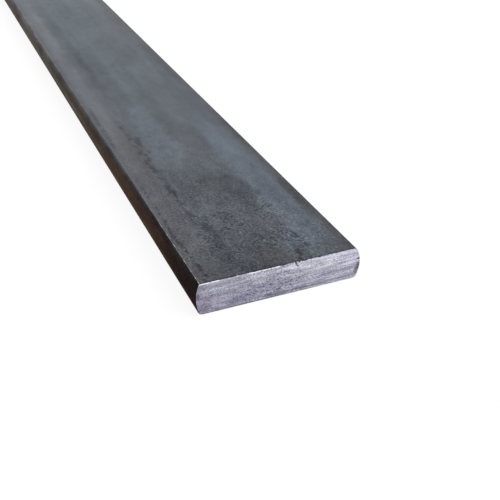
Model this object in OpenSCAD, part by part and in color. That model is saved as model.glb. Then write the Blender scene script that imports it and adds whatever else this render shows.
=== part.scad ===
// Hot-rolled steel flat bar, sawn square to a stock length and lying on its wide face.
// X runs along the bar, Y across its width and Z up through its thickness.
// The origin is at the middle of the underside, halfway along the bar.
// The narrow edges are crowned, as rolling leaves them, and their corners are rounded.

/* [Bar] */
// Length that the stock is cut to
bar_length = 1000; // [100:10:6000]
// Width over the two crowned edges
bar_width = 50; // [20:1:150]
// Thickness between the two flat faces
bar_thickness = 10; // [5:0.5:40]

/* [Rolled edges] */
// How far the middle of each narrow edge stands out beyond its sharp corners
edge_crown = 1.2; // [0.2:0.1:2.4]
// Radius of the two upper corners
top_corner_r = 1.2; // [0.3:0.1:2.2]
// Radius of the two lower corners
bottom_corner_r = 1.8; // [0.3:0.1:2.2]

/* [Hidden] */

// Smoothness of the arcs
$fn = 720;
// How far a cutting shape reaches past what it cuts
cut_over = 1;
// Added to a corner's radius, so that its arc crosses the faces that it would only touch
arc_overlap = 0.001;

// Half the thickness, which is the height at which each edge is widest
mid_z = bar_thickness / 2;
// Radius of the crown: an arc that rises edge_crown over the full thickness
crown_r = (pow(mid_z, 2) + pow(edge_crown, 2)) / (2 * edge_crown);
// Place across the width of the crown's centre, on the +Y side
crown_y = bar_width / 2 - crown_r;
// Place across the width where the crown's trimming starts: inside the edge's sharp
// corners, and never behind the crown's centre
trim_y = max(crown_y, bar_width / 2 - edge_crown - cut_over);

// Place across the width of an upper corner's centre. An arc of radius r there touches
// the flat face and, from inside, the crown, so the centres are crown_r - r apart.
function corner_y(r) = crown_y + sqrt(pow(crown_r - r, 2) - pow(mid_z - r, 2));

// Angle above the Y axis at which that arc runs into the crown
function corner_angle(r) = asin((mid_z - r) / (crown_r - r));

// All that lies outside the crown on the +Y side
module outside_crown() {
    difference() {
        translate([trim_y, -cut_over])
            square([bar_width / 2 + cut_over - trim_y, bar_thickness + 2 * cut_over]);
        translate([crown_y, mid_z]) circle(crown_r);
    }
}

// All that lies outside the upper corner on the +Y side: a wedge with its point on the
// corner's centre, one side square through the flat face and one square through the
// crown, less the corner's own round
module outside_corner(r) {
    reach = r + cut_over;
    angle = corner_angle(r);
    translate([corner_y(r), bar_thickness - r]) difference() {
        polygon([[0, 0], [reach * cos(angle), reach * sin(angle)], [reach, reach], [0, reach]]);
        circle(r + arc_overlap);
    }
}

// Turns an upper corner's shape over, onto the lower corner
module lower() {
    translate([0, bar_thickness]) mirror([0, 1]) children();
}

// Section of the bar: Y across the page and Z up it. It starts as a blank wider than
// the bar, which the crowns trim to bar_width.
module section() {
    blank_width = bar_width + cut_over;
    difference() {
        translate([-blank_width / 2, 0]) square([blank_width, bar_thickness]);
        for (side = [0, 1]) mirror([side, 0]) {
            outside_crown();
            outside_corner(top_corner_r);
            lower() outside_corner(bottom_corner_r);
        }
    }
}

// The whole bar: the section carried along X, with both ends cut square
module flat_bar() {
    color("slategray")
        translate([-bar_length / 2, 0, 0])
            rotate([90, 0, 90])
                linear_extrude(height = bar_length) section();
}

flat_bar();
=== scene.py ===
"""Dresses the steel flat bar: hot-rolled mill scale, dark rolled edges and bright sawn ends.

Everything is in metres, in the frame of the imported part: X runs along the bar towards the sawn end
that the photograph shows, Y across its width and Z up. The bar's box comes from the frame. Only the
tables of marks, and the places given to Bench.along and Bench.across, are in millimetres.
"""
import logging
import math
from dataclasses import dataclass, field
from enum import Enum
from functools import cached_property, reduce

import bpy
import numpy as np
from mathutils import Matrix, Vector


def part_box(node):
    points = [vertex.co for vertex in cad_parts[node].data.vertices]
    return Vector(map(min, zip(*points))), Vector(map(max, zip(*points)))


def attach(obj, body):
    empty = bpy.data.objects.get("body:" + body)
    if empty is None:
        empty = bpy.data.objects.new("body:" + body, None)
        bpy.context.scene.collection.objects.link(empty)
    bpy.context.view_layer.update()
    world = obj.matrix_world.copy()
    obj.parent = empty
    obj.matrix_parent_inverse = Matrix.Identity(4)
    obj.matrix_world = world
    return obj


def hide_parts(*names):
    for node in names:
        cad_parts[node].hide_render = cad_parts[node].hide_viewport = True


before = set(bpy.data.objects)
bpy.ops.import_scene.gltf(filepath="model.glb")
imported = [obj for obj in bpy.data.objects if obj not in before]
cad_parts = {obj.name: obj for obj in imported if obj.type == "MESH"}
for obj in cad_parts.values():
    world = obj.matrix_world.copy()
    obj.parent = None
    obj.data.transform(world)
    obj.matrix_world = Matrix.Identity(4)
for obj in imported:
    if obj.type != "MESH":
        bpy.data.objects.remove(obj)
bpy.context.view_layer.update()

LOG = logging.getLogger("flat_bar")
MM = 0.001
NODE = "flat_bar"
BAKE_MAP = "OFBake"

Colour = tuple[float, float, float]
Place = tuple[float, float, float]
Stops = tuple[tuple[float, Colour], ...]
Row = tuple[float, float, float, float, Colour, float]
SeamRow = tuple[float, float, float, float, float, float, Colour, float]
Socket = bpy.types.NodeSocket


class Skin(Enum):
    """The finishes of the bar, in the order of its material slots."""

    MILL_SCALE = 0
    ROLLED_EDGE = 1
    SAWN_STEEL = 2


class Mixing(Enum):
    """How the second of two colours acts on the first, with Blender's name for it."""

    COVERS = "MIX"
    TINTS = "MULTIPLY"


def smooth_step(value: np.ndarray, low: float, high: float) -> np.ndarray:
    """Rises from 0 at low to 1 at high, level at both ends: t t (3 - 2 t)."""
    t = np.clip((value - low) / (high - low), 0.0, 1.0)
    return t * t * (3.0 - 2.0 * t)


def value_noise(u: np.ndarray, v: np.ndarray, cell: float, seed: int) -> np.ndarray:
    """Smooth random heights over a plane, from -1 to 1.

    Random heights stand on the corners of a square lattice, and each point blends the four corners
    of its square by the smooth step of its place between them.

    Args:
        u: First coordinate of each point, in metres.
        v: Second coordinate of each point, in metres.
        cell: Side of a lattice square, in metres.
        seed: Seed of the random heights.

    Returns:
        The height at each point.
    """
    u, v = np.broadcast_arrays(u / cell, v / cell)
    low_u, low_v = np.floor(u.min()), np.floor(v.min())
    column, row = np.floor(u - low_u).astype(int), np.floor(v - low_v).astype(int)
    heights = np.random.default_rng(seed).uniform(-1.0, 1.0, (column.max() + 2, row.max() + 2))
    s = smooth_step(u - low_u - column, 0.0, 1.0)
    t = smooth_step(v - low_v - row, 0.0, 1.0)
    near = heights[column, row] * (1.0 - s) + heights[column + 1, row] * s
    far = heights[column, row + 1] * (1.0 - s) + heights[column + 1, row + 1] * s
    return near * (1.0 - t) + far * t


def outward(outline: np.ndarray) -> np.ndarray:
    """Unit normals of an outline: each chord through the two neighbours, turned a quarter left.

    Args:
        outline: Rows of Y and Z of a closed outline that runs clockwise.

    Returns:
        A normal for each row.
    """
    chord = np.roll(outline, -1, axis=0) - np.roll(outline, 1, axis=0)
    normal = np.stack([-chord[:, 1], chord[:, 0]], axis=1)
    return normal / np.linalg.norm(normal, axis=1, keepdims=True)


@dataclass(frozen=True)
class RolledEdge:
    """One narrow edge of the bar, as rolling leaves it. Its sizes are in metres.

    Attributes:
        crown: How far the edge's middle stands out beyond its sharp corners.
        top_radius: Radius of its upper corner.
        bottom_radius: Radius of its lower corner.
    """

    crown: float
    top_radius: float
    bottom_radius: float

    def quarter(self, width: float, thickness: float, upper: bool,
                steps: tuple[int, int]) -> np.ndarray:
        """Points from the middle of the edge on the +Y side to where its corner meets the flat.

        The crown is an arc through both sharp corners that rises by the crown between them. The
        corner is an arc that touches the crown from inside and touches the flat face.

        Args:
            width: Width of the bar over both crowns.
            thickness: Thickness of the bar.
            upper: True for the upper half of the edge.
            steps: Steps along the crown and along the corner.

        Returns:
            Rows of Y and Z.
        """
        half = thickness / 2
        radius = self.top_radius if upper else self.bottom_radius
        crown_radius = (half ** 2 + self.crown ** 2) / (2 * self.crown)
        crown_y = width / 2 - crown_radius
        rise, reach = half - radius, crown_radius - radius
        turn = math.asin(rise / reach)
        crown_turns = np.linspace(0.0, turn, steps[0] + 1)
        corner_turns = np.linspace(turn, math.pi / 2, steps[1] + 1)[1:]
        crown_arc = np.stack([crown_y + crown_radius * np.cos(crown_turns),
                              crown_radius * np.sin(crown_turns)], axis=1)
        corner_arc = np.stack([crown_y + reach * math.cos(turn) + radius * np.cos(corner_turns),
                               rise + radius * np.sin(corner_turns)], axis=1)
        points = np.concatenate([crown_arc, corner_arc])
        if not upper:
            points[:, 1] *= -1.0
        points[:, 1] += half
        return points


@dataclass
class Section:
    """The bar's cross-section, as a closed outline of Y and Z.

    Attributes:
        width: Width over both crowns.
        thickness: Thickness between the flats.
        left: The narrow edge on the -Y side.
        right: The narrow edge on the +Y side.
        steps: Steps along each half crown and along each corner.
        flat_parts: Stretches of the flat faces, each as the share of the flat at which it ends and
            its number of columns.
    """

    width: float
    thickness: float
    left: RolledEdge
    right: RolledEdge
    steps: tuple[int, int] = (9, 7)
    flat_parts: tuple[tuple[float, int], ...] = ((0.585, 60), (0.645, 17), (1.0, 38))

    def half_outline(self, upper: bool) -> np.ndarray:
        """Half of the outline, from the middle of the left edge to the middle of the right one.

        Args:
            upper: True for the half over the top.

        Returns:
            Rows of Y and Z, as many for one half as for the other.
        """
        left = self.left.quarter(self.width, self.thickness, upper, self.steps) * (-1.0, 1.0)
        right = self.right.quarter(self.width, self.thickness, upper, self.steps)[::-1]
        shares = np.zeros(1)
        for end, columns in self.flat_parts:
            shares = np.concatenate([shares, np.linspace(shares[-1], end, columns + 1)[1:]])
        inner = shares[1:-1, None]
        flat = left[-1] * (1.0 - inner) + right[0] * inner
        return np.concatenate([left, flat, right])

    def outline(self) -> np.ndarray:
        """The whole outline: from the left edge over the top to the right edge and back below."""
        return np.concatenate([self.half_outline(True), self.half_outline(False)[-2:0:-1]])


@dataclass(frozen=True)
class SawCut:
    """The relief of one sawn end. Its sizes are in metres.

    Attributes:
        seed: Seed of this end's random marks.
        mark_pitch: Distance from one saw mark to the next, up the end.
        mark_depth: Depth of the saw marks.
        mark_tilt: How far the marks climb for each metre across.
        wander: How far the marks stray up and down.
        cells: Sizes of the marks' wandering, of their changes in strength, of the finer ripple and
            of the unevenness.
        shares: Shares of the marks, the ripple and the unevenness in the depth.
        ripple_stretch: How much longer the ripple is across the end than up it.
        rim: Width of the broken edge around the cut.
        worn: Extra width of the edge where the cut meets the narrow edge on the -Y side.
        worn_from: Place across the bar where that wear starts.
        worn_fade: Distance over which it sets in.
        burr: Extra width of the edge along the top, where the blade tore a lip.
        burr_end: Place across the bar where the burr stops.
        burr_fade: Distance over which it dies out.
        burr_length: Length of its thicker and thinner parts.
        chip: Depth of the small random chips along the upper edge.
        chip_length: Length of those chips.
        bites: Larger chips there, each as its place across the bar, half its width and its depth.
        bite_grain: Length of the raggedness of those larger chips.
        nick_y: Place across the bar of the nick in the upper edge, or None.
        nick_cut: How far the nick cuts in behind the end.
        nick_depth: How far down the nick reaches.
        nick_width: How far the nick reaches to each side of its line.
        nick_lean: How far the nick leans across for each metre down.
    """

    seed: int
    mark_pitch: float = 1.25 * MM
    mark_depth: float = 0.035 * MM
    mark_tilt: float = 0.012
    wander: float = 0.35 * MM
    cells: tuple[float, float, float, float] = (9 * MM, 3 * MM, 0.45 * MM, 12 * MM)
    shares: tuple[float, float, float] = (0.55, 0.45, 0.6)
    ripple_stretch: int = 6
    rim: float = 0.03 * MM
    worn: float = 0.20 * MM
    worn_from: float = -23.5 * MM
    worn_fade: float = 0.8 * MM
    burr: float = 0.07 * MM
    burr_end: float = -0.3 * MM
    burr_fade: float = 1.5 * MM
    burr_length: float = 1.1 * MM
    chip: float = 0.12 * MM
    chip_length: float = 1.5 * MM
    bites: tuple[tuple[float, float, float], ...] = ()
    bite_grain: float = 0.5 * MM
    nick_y: float | None = None
    nick_cut: float = 0.45 * MM
    nick_depth: float = 1.2 * MM
    nick_width: float = 0.30 * MM
    nick_lean: float = 0.25

    def relief(self, y: np.ndarray, z: np.ndarray, top: float) -> np.ndarray:
        """How far each point of the cut lies behind the plane of the end.

        Saw marks are a wave up the end whose phase wanders slowly across it, over a finer ripple
        and a slow unevenness. The nick is a groove with a smooth side.

        Args:
            y: Place across the bar.
            z: Height.
            top: Height of the upper face.

        Returns:
            Depth in metres, never negative.
        """
        wander_cell, strength_cell, ripple_cell, uneven_cell = self.cells
        mark_share, ripple_share, uneven_share = self.shares
        climb = z - self.mark_tilt * y + self.wander * value_noise(y, z, wander_cell, self.seed)
        marks = 0.5 + 0.5 * np.sin(2 * math.pi * climb / self.mark_pitch)
        strength = 0.6 + 0.4 * value_noise(y, climb, strength_cell, self.seed + 1)
        ripple = 0.5 + 0.5 * value_noise(y / self.ripple_stretch, climb, ripple_cell, self.seed + 2)
        uneven = 0.5 + 0.5 * value_noise(y, z, uneven_cell, self.seed + 3)
        depth = mark_share * marks * strength + ripple_share * ripple + uneven_share * uneven
        return self.mark_depth * depth + self.nick(y, z, top)

    def nick(self, y: np.ndarray, z: np.ndarray, top: float) -> np.ndarray:
        """Depth of the nick at each point: deepest on its line, nothing its own width away.

        Args:
            y: Place across the bar.
            z: Height.
            top: Height of the upper face.

        Returns:
            Depth in metres, 0 all over where the end has no nick.
        """
        if self.nick_y is None:
            return np.zeros(np.broadcast(y, z).shape)
        down = top - z
        aside = np.abs(y - self.nick_y - self.nick_lean * down)
        groove = 1.0 - smooth_step(aside, 0.15 * self.nick_width, self.nick_width)
        return self.nick_cut * groove * (1.0 - smooth_step(down, 0.75 * self.nick_depth, self.nick_depth))

    def edge_width(self, y: np.ndarray, z: np.ndarray, top: float) -> np.ndarray:
        """Width of the broken edge around the cut, larger and ragged along the burr.

        Args:
            y: Place across the bar, for each point of the outline.
            z: Height.
            top: Height of the upper face.

        Returns:
            The width in metres, at each point of the outline.
        """
        upper = smooth_step(z, 0.9 * top, 0.97 * top)
        left = 1.0 - smooth_step(y, self.burr_end - self.burr_fade, self.burr_end)
        ragged = 0.65 + 0.35 * value_noise(y, 0 * y, self.burr_length, self.seed + 5)
        worn = self.worn * smooth_step(-y, -self.worn_from, -self.worn_from + self.worn_fade)
        return self.rim + worn + self.burr * upper * left * ragged

    def chips(self, y: np.ndarray, z: np.ndarray, top: float) -> np.ndarray:
        """How far the upper edge of the cut is broken down, by small random chips and by the bites.

        Args:
            y: Place across the bar, for each point of the outline.
            z: Height.
            top: Height of the upper face.

        Returns:
            The depth of the break in metres, at each point of the outline.
        """
        upper = smooth_step(z, 0.97 * top, 0.999 * top)
        rough = value_noise(y, 0 * y, self.chip_length, self.seed + 6)
        small = self.chip * np.clip(rough - 0.15, 0.0, 1.0)
        centre, half, depth = np.array(self.bites).reshape(-1, 3).T[..., None]
        large = depth * (1.0 - smooth_step(np.abs(y - centre), 0.5 * half, half))
        ragged = 0.75 + 0.25 * value_noise(y, 0 * y, self.bite_grain, self.seed + 7)
        return upper * (small + ragged * large.sum(axis=0))


@dataclass
class MeshParts:
    """Points, faces, skins and places on the bake map, gathered block by block.

    Attributes:
        points: Blocks of points.
        faces: Blocks of faces with the same number of corners, as point numbers.
        skins: The slot number of each face.
        map_places: The place on the bake map of each face corner.
    """

    points: list[np.ndarray] = field(default_factory=list)
    faces: list[np.ndarray] = field(default_factory=list)
    skins: list[np.ndarray] = field(default_factory=list)
    map_places: list[np.ndarray] = field(default_factory=list)

    def add_faces(self, faces: np.ndarray, skins: np.ndarray, places: np.ndarray) -> None:
        """Adds a block of faces.

        Args:
            faces: The faces, as point numbers.
            skins: The slot number of each, or one for all.
            places: The places on the bake map of their corners.
        """
        self.faces.append(faces)
        self.skins.append(np.broadcast_to(skins, (len(faces),)))
        self.map_places.append(places.reshape(-1, 2))

    def to_object(self, name: str) -> bpy.types.Object:
        """Makes the Blender object.

        Args:
            name: Name of the object and its mesh.

        Returns:
            The new object, in the scene's collection.
        """
        points = np.concatenate(self.points)
        corners = np.concatenate([block.ravel() for block in self.faces])
        counts = np.concatenate([np.full(len(block), block.shape[1]) for block in self.faces])
        mesh = bpy.data.meshes.new(name)
        mesh.vertices.add(len(points))
        mesh.vertices.foreach_set("co", points.ravel())
        mesh.loops.add(len(corners))
        mesh.loops.foreach_set("vertex_index", corners)
        mesh.polygons.add(len(counts))
        mesh.polygons.foreach_set("loop_start", np.concatenate([[0], np.cumsum(counts)[:-1]]))
        mesh.polygons.foreach_set("material_index", np.concatenate(self.skins))
        bake_map = mesh.uv_layers.new(name=BAKE_MAP)
        bake_map.data.foreach_set("uv", np.concatenate(self.map_places).ravel())
        mesh.update(calc_edges=True)
        mesh.validate()
        piece = bpy.data.objects.new(name, mesh)
        bpy.context.scene.collection.objects.link(piece)
        return piece


@dataclass(frozen=True)
class BakeSheet:
    """Lays the bar out flat on the bake map. Its sizes are in metres of bar.

    The long skin is cut into strips of equal length that lie one above the other. The two ends
    stand beside them, drawn larger because they are looked at more closely.

    Attributes:
        length: Length of the bar.
        girth: Length around the section.
        width: Width of the section.
        thickness: Thickness of the section.
        strips: Number of strips.
        end_scale: How much larger than the skin the ends are drawn.
        gap: Space around each island.
    """

    length: float
    girth: float
    width: float
    thickness: float
    strips: int = 3
    end_scale: float = 3.4
    gap: float = 3.2 * MM

    def side(self) -> float:
        """Side of the square sheet that everything fits in, in metres of skin."""
        across = self.length / self.strips + self.end_scale * self.thickness + 4 * self.gap
        return max(across, self.strips * (self.girth + 2 * self.gap))

    def skin_places(self, x: np.ndarray, around: np.ndarray) -> np.ndarray:
        """Places of the long skin's faces.

        Args:
            x: Place along the bar of each face's corners, from 0 at the far end: faces by corners.
            around: Distance around the section of the same corners.

        Returns:
            Places from 0 to 1: faces by corners by 2.
        """
        strip_length = self.length / self.strips
        strip = np.clip(np.floor(x.mean(axis=1) / strip_length), 0, self.strips - 1)[:, None]
        u = self.gap + x - strip * strip_length
        v = self.gap + around + strip * (self.girth + 2 * self.gap)
        return np.stack([u, v], axis=-1) / self.side()

    def end_places(self, y: np.ndarray, z: np.ndarray, near: bool) -> np.ndarray:
        """Places of an end's faces, turned to stand upright beside the strips.

        Args:
            y: Place across the bar of each corner.
            z: Height of each corner.
            near: True for the end at +X, False for the end at -X, which faces the other way.

        Returns:
            Places from 0 to 1, with one more axis of length 2.
        """
        u = self.length / self.strips + 3 * self.gap + self.end_scale * z
        tall = self.end_scale * self.width + 2 * self.gap
        across, below = (-y, 0.0) if near else (y, tall)
        v = self.gap + below + self.end_scale * (across + self.width / 2)
        return np.stack([u, v], axis=-1) / self.side()


@dataclass
class FlatBar:
    """The dressed bar: one closed mesh of the whole piece of stock. Its sizes are in metres.

    Attributes:
        low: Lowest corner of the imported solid.
        high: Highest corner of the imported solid.
        left: The narrow edge on the -Y side.
        right: The narrow edge on the +Y side.
        near_cut: The sawn end at +X.
        far_cut: The sawn end at -X.
        rows: Rows of faces up each sawn end.
        end_stretches: The first stretches of the skin from each end, each as the distance at which
            it ends and its number of steps along the bar.
        middle_steps: Steps from there to where the bake sheet is cut into strips, and from there
            to the middle of the bar.
        waviness: Height of the slow waves that rolling leaves in the faces.
        wave_cells: Length of the slow waves, and of the shorter ones half as high.
        wave_seed: Seed of the slow waves. The shorter ones have the next.
        edge_fade: Distance from each end over which the waves die out.
        scale_reach: Where the mill scale stops on the -Y and on the +Y side: it covers the faces
            whose two sides face up or down by more than this in all.
        sharp_angle: Angle between faces, in degrees, past which their edge stays sharp.
        length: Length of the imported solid.
        width: Its width.
        thickness: Its thickness.
        outline: The section's outline.
        normal: The outline's outward normals.
        around: Distance around the section of each point, and of the first again at the end.
        sheet: The bake sheet.
    """

    low: Vector
    high: Vector
    left: RolledEdge = RolledEdge(1.0 * MM, 0.9 * MM, 1.5 * MM)
    right: RolledEdge = RolledEdge(1.4 * MM, 1.1 * MM, 1.5 * MM)
    near_cut: SawCut = SawCut(seed=11, nick_y=4.6 * MM, bites=(
        (0.9 * MM, 0.9 * MM, 0.28 * MM), (5.7 * MM, 0.35 * MM, 0.35 * MM),
        (7.3 * MM, 1.1 * MM, 0.36 * MM), (9.3 * MM, 0.4 * MM, 0.22 * MM),
        (11.9 * MM, 0.6 * MM, 0.28 * MM)))
    far_cut: SawCut = SawCut(seed=47, burr_end=18 * MM, mark_tilt=-0.02)
    rows: int = 34
    end_stretches: tuple[tuple[float, int], ...] = ((12 * MM, 24), (60 * MM, 32))
    middle_steps: tuple[int, int] = (38, 24)
    waviness: float = 0.02 * MM
    wave_cells: tuple[float, float] = (45 * MM, 14 * MM)
    wave_seed: int = 3
    edge_fade: float = 4 * MM
    scale_reach: tuple[float, float] = (1.95, 1.76)
    sharp_angle: float = 32.0
    length: float = field(init=False)
    width: float = field(init=False)
    thickness: float = field(init=False)
    outline: np.ndarray = field(init=False)
    normal: np.ndarray = field(init=False)
    around: np.ndarray = field(init=False)
    sheet: BakeSheet = field(init=False)

    def __post_init__(self) -> None:
        """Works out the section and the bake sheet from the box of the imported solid."""
        self.length, self.width, self.thickness = Vector(self.high) - Vector(self.low)
        self.outline = Section(round(self.width, 4), self.thickness, self.left, self.right).outline()
        self.normal = outward(self.outline)
        steps = np.linalg.norm(np.roll(self.outline, -1, axis=0) - self.outline, axis=1)
        self.around = np.concatenate([[0.0], np.cumsum(steps)])
        self.sheet = BakeSheet(self.length, self.around[-1], self.width, self.thickness)

    def stations(self) -> np.ndarray:
        """Places along the bar of the rings of points, closer together towards both ends.

        Distances from an end grow in stretches of even steps, one of which ends where the bake sheet
        is cut into strips. The two halves mirror each other.

        Returns:
            The places, from the far end to the near one.
        """
        ends = (self.length / self.sheet.strips, self.length / 2)
        start, stretches = 0.0, []
        for end, steps in self.end_stretches + tuple(zip(ends, self.middle_steps)):
            stretches.append(np.linspace(start, end, steps, endpoint=False))
            start = end
        left = self.low[0] + np.concatenate(stretches + [[start]])
        return np.concatenate([left, (self.low[0] + self.high[0]) - left[-2::-1]])

    def build(self) -> bpy.types.Object:
        """Builds the bar's mesh.

        Rings of the outline stand at each station. The first and last ring are drawn in by the
        width of the broken edge, and a grid of columns, each a straight line from the lower half of
        that ring to the upper half, closes each end.

        Returns:
            The bar's object, with its skins on its faces and no materials yet.
        """
        rings = self._rings()
        parts = MeshParts()
        self._break_edge(rings, self.near_cut, 1.0)
        self._break_edge(rings, self.far_cut, -1.0)
        parts.points.append(rings.reshape(-1, 3))
        self._add_skin(parts, rings)
        self._add_end(parts, rings, self.near_cut, 1.0)
        self._add_end(parts, rings, self.far_cut, -1.0)
        piece = parts.to_object("flat_bar_dressed")
        piece.data.shade_smooth()
        piece.data.set_sharp_from_angle(angle=math.radians(self.sharp_angle))
        return piece

    def _rings(self) -> np.ndarray:
        """The outline at each station, pushed out and in along its normals by the rolling's waves.

        Returns:
            Points: stations by points around by 3.
        """
        x = self.stations()[:, None]
        y = np.broadcast_to(self.outline[:, 0], (len(x), len(self.outline)))
        z = np.broadcast_to(self.outline[:, 1], y.shape)
        long_cell, short_cell = self.wave_cells
        around = self.around[None, :-1]
        wave = self.waviness * (value_noise(x, around, long_cell, self.wave_seed)
                                + 0.5 * value_noise(x, around, short_cell, self.wave_seed + 1))
        fade = smooth_step(self.length / 2 - np.abs(x), 0.0, self.edge_fade)
        shift = (wave - 0.5 * self.waviness) * fade
        return np.stack([np.broadcast_to(x, y.shape), y + shift * self.normal[:, 0],
                         z + shift * self.normal[:, 1]], axis=-1)

    def _break_edge(self, rings: np.ndarray, cut: SawCut, side: float) -> None:
        """Draws the last ring in by the width of the broken edge, and sets the one before it back.

        Args:
            rings: All rings of points, changed in place.
            cut: The sawn end.
            side: 1 for the end at +X and -1 for the end at -X.
        """
        last, before = (-1, -2) if side > 0 else (0, 1)
        y, z = self.outline.T
        width = cut.edge_width(y, z, self.thickness)
        chips = cut.chips(y, z, self.thickness)
        end_x = rings[last, :, 0].copy()
        rings[before, :, 0] = end_x - side * (0.8 * width + chips + cut.nick(y, z, self.thickness))
        rings[before, :, 1:] = self.outline
        rings[last, :, 0] = end_x - side * cut.relief(y, z, self.thickness)
        rings[last, :, 1:] = self.outline - self.normal * (width + chips)[:, None]

    def _add_skin(self, parts: MeshParts, rings: np.ndarray) -> None:
        """Adds the faces between the rings.

        The flats have mill scale and the narrow edges their own skin. Around each cut the broken
        edge is sawn steel below and keeps the mill scale along the top.

        Args:
            parts: The mesh so far.
            rings: Rings of points.
        """
        count, ring = rings.shape[:2]
        numbers = np.arange(count * ring).reshape(count, ring)
        here, there = numbers[:-1], numbers[1:]
        faces = np.stack([here, there, np.roll(there, -1, axis=1), np.roll(here, -1, axis=1)], axis=-1)
        upright = np.abs(self.normal[:, 1]) + np.abs(np.roll(self.normal[:, 1], -1))
        reach = np.where(self.outline[:, 0] < 0, *self.scale_reach)
        skin = np.where(upright > reach, Skin.MILL_SCALE.value, Skin.ROLLED_EDGE.value)
        skins = np.broadcast_to(skin, faces.shape[:2]).copy()
        below = (skin == Skin.MILL_SCALE.value) & (self.outline[:, 1] < self.thickness / 2)
        skins[[0, -1]] = np.where(below, Skin.SAWN_STEEL.value, skin)
        x = rings[..., 0] - self.low[0]
        along = np.stack([x[:-1], x[1:], np.roll(x[1:], -1, axis=1), np.roll(x[:-1], -1, axis=1)], axis=-1)
        start, end = self.around[:-1], self.around[1:]
        girth = np.broadcast_to(np.stack([start, start, end, end], axis=-1), along.shape)
        places = self.sheet.skin_places(along.reshape(-1, 4), girth.reshape(-1, 4)).reshape(*faces.shape, 2)
        for row in (0, count - 2):
            corner = rings.reshape(-1, 3)[faces[row]]
            places[row] = self.sheet.end_places(corner[..., 1], corner[..., 2], row > 0)
        parts.add_faces(faces.reshape(-1, 4), skins.ravel(), places)

    def _add_end(self, parts: MeshParts, rings: np.ndarray, cut: SawCut, side: float) -> None:
        """Adds the grid of faces that closes one end.

        Args:
            parts: The mesh so far.
            rings: Rings of points.
            cut: The sawn end.
            side: 1 for the end at +X and -1 for the end at -X.
        """
        near = side > 0
        count, ring = rings.shape[:2]
        half = ring // 2
        first = (count - 1) * ring if near else 0
        rim = rings[-1 if near else 0]
        end_x = self.high[0] if near else self.low[0]
        upper = np.arange(half + 1)
        lower = (ring - upper) % ring
        share = np.linspace(0.0, 1.0, self.rows + 1)[None, 1:-1, None]
        inner = rim[lower[1:-1], None, 1:] * (1.0 - share) + rim[upper[1:-1], None, 1:] * share
        depth = cut.relief(inner[..., 0], inner[..., 1], self.thickness)
        base = sum(len(block) for block in parts.points)
        points = np.concatenate([(end_x - side * depth)[..., None], inner], axis=-1)
        parts.points.append(points.reshape(-1, 3))
        numbers = np.empty((half + 1, self.rows + 1), dtype=int)
        numbers[:, 0], numbers[:, -1] = first + lower, first + upper
        numbers[1:-1, 1:-1] = base + np.arange((half - 1) * (self.rows - 1)).reshape(half - 1, -1)
        inside = numbers[1:-1]
        quads = np.stack([inside[:-1, :-1], inside[1:, :-1], inside[1:, 1:], inside[:-1, 1:]], axis=-1)
        left = np.stack([np.full(self.rows, numbers[0, 0]), inside[0, :-1], inside[0, 1:]], axis=-1)
        right = np.stack([inside[-1, :-1], np.full(self.rows, numbers[-1, 0]), inside[-1, 1:]], axis=-1)
        all_points = np.concatenate(parts.points)
        for block in (quads.reshape(-1, 4), left, right):
            faces = block if near else block[:, ::-1]
            corner = all_points[faces]
            places = self.sheet.end_places(corner[..., 1], corner[..., 2], near)
            parts.add_faces(faces, np.array(Skin.SAWN_STEEL.value), places)


@dataclass(frozen=True)
class Grain:
    """A soft random pattern.

    Attributes:
        scale: Patches in a metre, or one such number for each axis.
        detail: How many finer layers are added.
        roughness: How strong the finer layers are.
        seed: Which of the endless patterns is used.
    """

    scale: float | tuple[float, float, float]
    detail: float
    roughness: float
    seed: float


@dataclass(frozen=True)
class Surface:
    """How a finish takes the light.

    Attributes:
        roughness: Its roughness where the finish's own pattern is low, and where it is high.
        metallic: How metallic it is.
        gloss: Specular level.
        relief: Height of its fine relief in metres.
    """

    roughness: tuple[float, float]
    metallic: float
    gloss: float
    relief: float


@dataclass(frozen=True)
class Stain:
    """One patch that multiplies the colour under it. Its sizes are in metres.

    Attributes:
        centre: Distance from the near sawn end, place across the bar and height of its middle.
        reach: Its reach along, across and up the bar.
        tint: What it multiplies the colour by.
        strength: How far it does so, from 0 to 1.
    """

    centre: Place
    reach: Place
    tint: Colour
    strength: float


@dataclass(frozen=True)
class Seam:
    """A row of ragged blots along the upper face. Its sizes are in metres.

    Attributes:
        start: Distance from the near sawn end at which it starts.
        end: Distance from the near sawn end at which it ends.
        y: Place across the bar.
        half_width: Half its width.
        blot: Length of its blots.
        cover: How much of it is blotted, from 0 to 1.
        tint: What it multiplies the colour by.
        seed: Which random blots it has.
    """

    start: float
    end: float
    y: float
    half_width: float
    blot: float
    cover: float
    tint: Colour
    seed: float


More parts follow.
